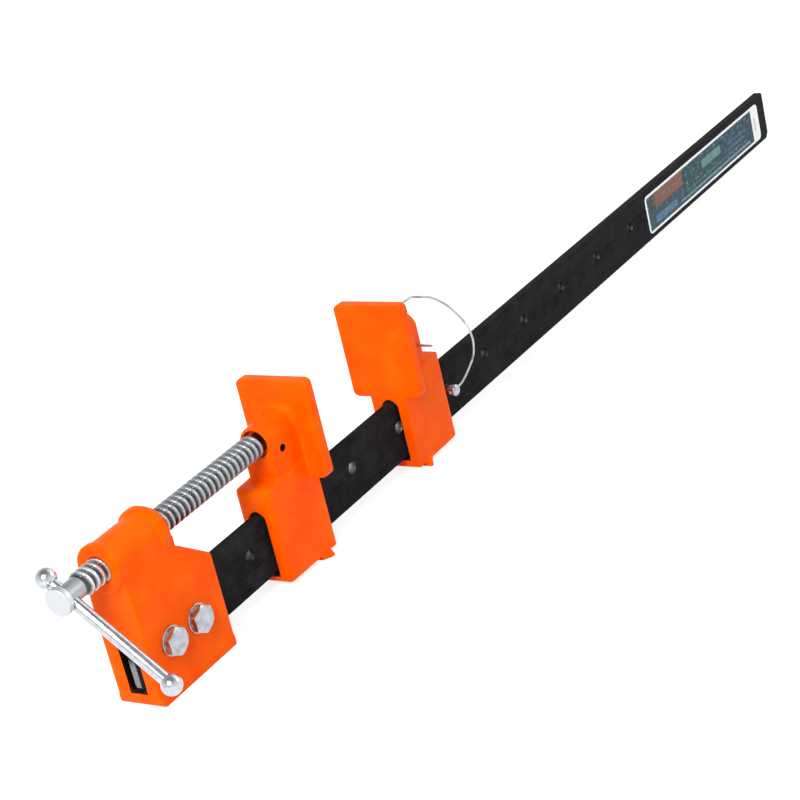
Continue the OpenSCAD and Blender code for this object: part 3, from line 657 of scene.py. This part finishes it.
# Head, r = min(hexagon, cone) with the cone about 28 degrees off the top face, then the plain shank, the
# thread from threadRun before the nut, and the tip.
def boltPiece(name, x):
    b = bolts
    chamfer = np.linspace(0, b["chamfer"], 12)
    rise = np.concatenate([chamfer, [b["head"] - b["footEase"], b["head"]]])
    cone = np.concatenate([b["flats"] * b["headCone"] + chamfer * b["coneRise"],
                           [b["flats"], b["flats"] * b["footCone"]]])
    head = np.minimum(hexagon[None, :], cone[:, None])
    end = b["end"] - b["headFace"]
    shank = np.array([b["head"] + b["hair"], b["nutFace"] - b["headFace"] - b["threadRun"]])
    threadPlaces = np.arange(shank[1] + b["threadLead"], end - b["tip"], b["threadStep"])
    root = b["shank"] - b["depth"]
    helix = threadRadius(threadPlaces, boltTurn, shank[1], end, b["shank"] - b["hair"], root, b["pitch"])
    tip = np.array([[end - b["tipEase"][0], root], [end, root - b["tipEase"][1]]])
    along = np.concatenate([rise, shank, threadPlaces, tip[:, 0]])
    plain = np.full((2, len(boltTurn)), b["shank"])
    radius = np.vstack([head, plain, helix, tip[:, 1:] + 0 * boltTurn])
    return onBolt(name, x, b["headFace"], along, radius)


# Washer: a closed profile turned, each of its four corners split in two and moved by the eases.
def washerPiece(name, x, y):
    thick, hole, rim = bolts["thick"], bolts["shank"] + bolts["washerGap"], bolts["washer"]
    corners = [(0, hole), (0, rim), (0, rim), (thick, rim), (thick, rim), (thick, hole), (thick, hole),
               (0, hole)]
    profile = np.array(corners) + bolts["washerEases"]
    return onBolt(name, x, y, profile[:, 0], profile[:, 1], closed=True)


# Nut: outside r = min(hexagon, cone) from both faces, inside a bore with both rims sunk.
def nutPiece(name, x):
    b = bolts
    rise = np.concatenate([np.linspace(0, b["chamfer"], 10),
                           np.linspace(b["nut"] - b["chamfer"], b["nut"], 10)])
    cone = b["flats"] * b["nutCone"] + np.minimum(rise, b["nut"] - rise) * b["coneRise"]
    outer = np.minimum(hexagon[None, :], cone[:, None])
    wide, narrow = b["shank"] + b["sink"], b["shank"] + b["nutGap"]
    bore = np.array([[b["nut"], wide], [b["nut"] - b["sink"], narrow], [b["sink"], narrow], [0, wide]])
    along = np.concatenate([rise, bore[:, 0]])
    radius = np.vstack([outer, bore[:, 1:] + 0 * boltTurn])
    return onBolt(name, x, b["nutFace"], along, radius, closed=True)


for end, x in bolts["at"].items():
    which = end.capitalize()
    fasteners = {"head_bolt_": boltPiece("headBolt" + which, x),
                 "head_washer_": washerPiece("headWasher" + which, x, bolts["washerNear"]),
                 "nut_washer_": washerPiece("nutWasher" + which, x, bolts["washerFar"]),
                 "head_nut_": nutPiece("headNut" + which, x)}
    for nodeStart, piece in fasteners.items():
        settle(piece, zinc, "frame", "zinc_steel", nodeStart + end)
print("bolts made")

# Lock pin, its cross hole drilled along X; and the retainer pin, whose CAD node stays
pin = {"at": (313.0, -16.0, 33.0), "length": 30.0, "radius": 4.025, "chamfer": 1.2, "holeAt": -13.0,
       "hole": 1.1, "drillLength": 12.0}
lockPin = rodPiece("lockPin", np.array(pin["at"]) * mm, (0, 1, 0), pin["radius"], pin["length"],
                   pin["chamfer"], soft=0.4, steps=4)
drillStart = np.array([pin["at"][0] - pin["drillLength"] / 2, pin["holeAt"], pin["at"][2]]) * mm
cutAway(lockPin, drillRod(drillStart, (1, 0, 0), pin["hole"], pin["drillLength"], around=32))
settle(lockPin, zinc, "pin", "zinc_steel", "lock_pin")
nodes["jaw_retainer_pin"].data.materials.clear()
nodes["jaw_retainer_pin"].data.materials.append(phosphateSteel())

# Keeper wire: two tubes that meet on the bow, near joinAt along X and above joinAbove. Points run from the
# jaw's hole and then from the pin.
keeper = {"radius": 0.8, "joinAt": 362.0, "joinAbove": 60.0,
          "jawHole": (286.975, 0.0, 78.0), "pinAt": (313.0, 0.0, 33.0),
          "nearJaw": [[0, -22.5, 0], [0, -16, 0], [0, 0, 0], [0, 14, 0], [3, 18, 3], [14, 18.5, 13],
                      [35.5, 14, 17.6], [45.6, 13.5, 14.7], [59.3, 12, 8.3]],
          "nearPin": [[43.5, 9, 44], [49.2, 5, 34], [51.2, 1.5, 26.4], [48.1, -3.5, 19.5],
                      [43.9, -6.5, 13.9], [38, -8, 7.5], [24.2, -11, 3.5], [12.9, -13, 1.2], [6, -13, 0],
                      [-4.2, -13, 0], [-5.7, -13.5, 1]]}


# Smooth curve through points, Catmull-Rom: 0.5 (2b + (c-a) t + (2a-5b+4c-d) t^2 + (3b-a-3c+d) t^3).
def smoothPath(points, steps):
    p = np.vstack([points[:1], points, points[-1:]])
    a, b, c, d = p[:-3, None], p[1:-2, None], p[2:-1, None], p[3:, None]
    t = (np.arange(steps) / steps)[None, :, None]
    square, cube = 2 * a - 5 * b + 4 * c - d, 3 * b - a - 3 * c + d
    curve = 0.5 * (2 * b + (c - a) * t + square * t ** 2 + cube * t ** 3)
    return np.vstack([curve.reshape(-1, 3), points[-1:]])


# Round tube along a path: ring = point + r (u cos t + v sin t), u being reference x tangent made one
# long, and v = tangent x u.
def tubePiece(name, path, radius, around=20, reference=(0.35, 0.8, 0.5)):
    tangent = np.gradient(path, axis=0)
    tangent /= np.linalg.norm(tangent, axis=1, keepdims=True)
    u = np.cross(np.array(reference), tangent)
    u /= np.linalg.norm(u, axis=1, keepdims=True)
    v = np.cross(tangent, u)
    turn = turnAngles(around)
    spoke = np.cos(turn)[None, :, None] * u[:, None] + np.sin(turn)[None, :, None] * v[:, None]
    rings = path[:, None] + radius * spoke
    points = np.vstack([rings.reshape(-1, 3), path[:1], path[-1:]])
    return newPiece(name, points, ringFaces(len(path), around), crease=50)


wirePath = smoothPath(np.vstack([np.array(keeper["nearJaw"]) + keeper["jawHole"],
                                 np.array(keeper["nearPin"]) + keeper["pinAt"]]), steps=10)
tooLow = wirePath[:, 2] < keeper["joinAbove"]
join = int(np.argmin(np.where(tooLow, np.inf, np.abs(wirePath[:, 0] - keeper["joinAt"]))))
wireJaw = tubePiece("keeperWireJawEnd", wirePath[:join + 1] * mm, keeper["radius"] * mm)
wirePin = tubePiece("keeperWirePinEnd", wirePath[join:] * mm, keeper["radius"] * mm)
spring = springSteel()
settle(wireJaw, spring, None, "spring_steel", "keeper_wire")
settle(wirePin, spring, None, "spring_steel", "keeper_wire")
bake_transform(wireJaw)
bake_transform(wirePin)
print("pin and wire made")

# Label: low and high are its corners as (x, z), back and front its faces' y; the rim eases in by rim and
# back by edge
labelForm = {"low": (633.0, 14.5), "high": (853.0, 45.5), "corner": 4.0, "back": -4.0, "front": -4.3,
             "rim": 0.15, "edge": 0.1, "cornerSteps": 9}


# Rounded rectangle: its outline is four quarter circles, centre + r (cos t, sin t), joined up; it stands as
# three rings, at the back, near the front, and pulled in by rim at the front.
def labelPiece():
    f = labelForm
    (left, bottom), (right, top), r = f["low"], f["high"], f["corner"]
    centres = np.array([(right - r, top - r), (left + r, top - r), (left + r, bottom + r),
                        (right - r, bottom + r)])
    turn = np.linspace(0, np.pi / 2, f["cornerSteps"])[None, :] + np.arange(4)[:, None] * np.pi / 2
    spoke = np.stack([np.cos(turn), np.sin(turn)], -1)
    outline, inner = centres[:, None] + r * spoke, centres[:, None] + (r - f["rim"]) * spoke
    ends = np.stack([outline, outline, inner]).reshape(3, -1, 2)
    depth = np.array([f["back"], f["front"] + f["edge"], f["front"]])[:, None] + 0 * ends[..., 0]
    rings = np.stack([ends[..., 0], depth, ends[..., 1]], -1) * mm
    points = np.vstack([rings.reshape(-1, 3), rings[0].mean(0), rings[-1].mean(0)])
    return newPiece("labelFilm", points, ringFaces(3, rings.shape[1]))


settle(labelPiece(), printedFilm(labelForm["low"], labelForm["high"]), "frame", "label_film", "label")
print("label made")


# From Light Path's outputs, 1 for a ray that shows the background: seen directly, in gloss or through glass.
def showsBackground(owner, rays):
    seen = addNode(owner, "ShaderNodeMath", {0: rays["Is Camera Ray"], 1: rays["Is Glossy Ray"]},
                   operation="MAXIMUM").outputs[0]
    return addNode(owner, "ShaderNodeMath", {0: seen, 1: rays["Is Transmission Ray"]},
                   operation="MAXIMUM").outputs[0]


# Floor: plain white; seen directly, in gloss or through glass it is the white of the page, less the shadow
floorLook = {"size": 8, "middle": (0.4, 0, 0), "seenGlow": 0.8, "seenPaint": 0.36, "bouncePaint": 0.7}
bpy.ops.mesh.primitive_plane_add(size=floorLook["size"], location=floorLook["middle"])
floor = bpy.context.active_object
floor.name = "floorPlane"
page = bpy.data.materials.new("matt white floor")
page.use_nodes = True
page.node_tree.nodes.clear()
seenAny = showsBackground(page, addNode(page, "ShaderNodeLightPath").outputs)
glow = addNode(page, "ShaderNodeEmission", {"Color": (1, 1, 1, 1), "Strength": floorLook["seenGlow"]})
paint = addNode(page, "ShaderNodeBsdfDiffuse", {"Color": (floorLook["seenPaint"],) * 3 + (1,)})
seenShade = addNode(page, "ShaderNodeAddShader", {0: glow.outputs[0], 1: paint.outputs[0]})
bounce = addNode(page, "ShaderNodeBsdfDiffuse", {"Color": (floorLook["bouncePaint"],) * 3 + (1,)})
pick = addNode(page, "ShaderNodeMixShader", {0: seenAny, 1: bounce.outputs[0], 2: seenShade.outputs[0]})
addNode(page, "ShaderNodeOutputMaterial", {"Surface": pick.outputs[0]})
floor.data.materials.append(page)

# World: white where it is seen; gloss mirrors white that falls off overhead, from 1 low down to ceiling
# straight up; and it lights more softly. A lamp is (place, target, size, power), in metres and watts.
lighting = {"world": 0.5, "ceiling": 0.3, "fallFrom": 0.25, "fallTo": 0.95,
            "keyLamp": ((-1.5, -0.45, 1.7), (0.25, 0, 0.05), 1.2, 58.0),
            "fillLamp": ((1.6, -0.4, 1.6), (0.3, 0, 0.05), 1.4, 4.0),
            "sideLamp": ((1.3, -1.1, 0.8), (0.7, 0, 0.03), 1.0, 4.6)}
world = bpy.data.worlds.new("white room")
scene.world = world
world.use_nodes = True
world.node_tree.nodes.clear()
rays = addNode(world, "ShaderNodeLightPath").outputs
seenAny = showsBackground(world, rays)
direction = addNode(world, "ShaderNodeTexCoord").outputs["Generated"]
way = addNode(world, "ShaderNodeSeparateXYZ", {"Vector": direction})
overhead = addNode(world, "ShaderNodeMapRange",
                   {"Value": way.outputs["Z"], "From Min": lighting["fallFrom"],
                    "From Max": lighting["fallTo"], "To Min": 1.0, "To Max": lighting["ceiling"]})
mirrored = addNode(world, "ShaderNodeMath", {0: overhead.outputs[0], 1: rays["Is Camera Ray"]},
                   operation="MAXIMUM")
strength = addNode(world, "ShaderNodeMix", {0: seenAny, 2: lighting["world"], 3: mirrored.outputs[0]})
sky = addNode(world, "ShaderNodeBackground", {"Color": (1, 1, 1, 1), "Strength": strength.outputs[0]})
addNode(world, "ShaderNodeOutputWorld", {"Surface": sky.outputs[0]})


# Puts a lamp or camera at a place, its own right, up and back turned the ways given.
def stand(holder, place, right, up, back):
    turn = Matrix(np.column_stack([right, up, back]).tolist()).to_4x4()
    turn.translation = place
    holder.matrix_world = turn


# Square area lamp at a place, turned so that its -Z points at the target.
def addLamp(name, place, target, size, power):
    lamp = bpy.data.lights.new(name, "AREA")
    lamp.energy, lamp.size = power, size
    back, u, v = crossAxes(np.array(place) - np.array(target))
    stand(linkObject(name, lamp), place, u, v, back)


for name in ("keyLamp", "fillLamp", "sideLamp"):
    addLamp(name, *lighting[name])

# Camera: where the photograph was taken from, worked out from the bar's and the castings' edges
camera = {"place": (-0.83336, -0.82903, 0.60855), "lens": 101.25, "sensor": 36.0, "near": 0.01, "far": 50.0,
          "right": (0.51302, -0.83009, -0.21853), "down": (-0.43498, -0.03193, -0.89987),
          "forward": (0.74000, 0.55671, -0.37745)}
eye = bpy.data.cameras.new("photoCamera")
eye.lens, eye.sensor_width = camera["lens"], camera["sensor"]
eye.clip_start, eye.clip_end = camera["near"], camera["far"]
scene.camera = linkObject("photoCamera", eye)
stand(scene.camera, camera["place"], camera["right"], -np.array(camera["down"]),
      -np.array(camera["forward"]))
scene.view_settings.view_transform = "Standard"
print("floor, lights and camera set")
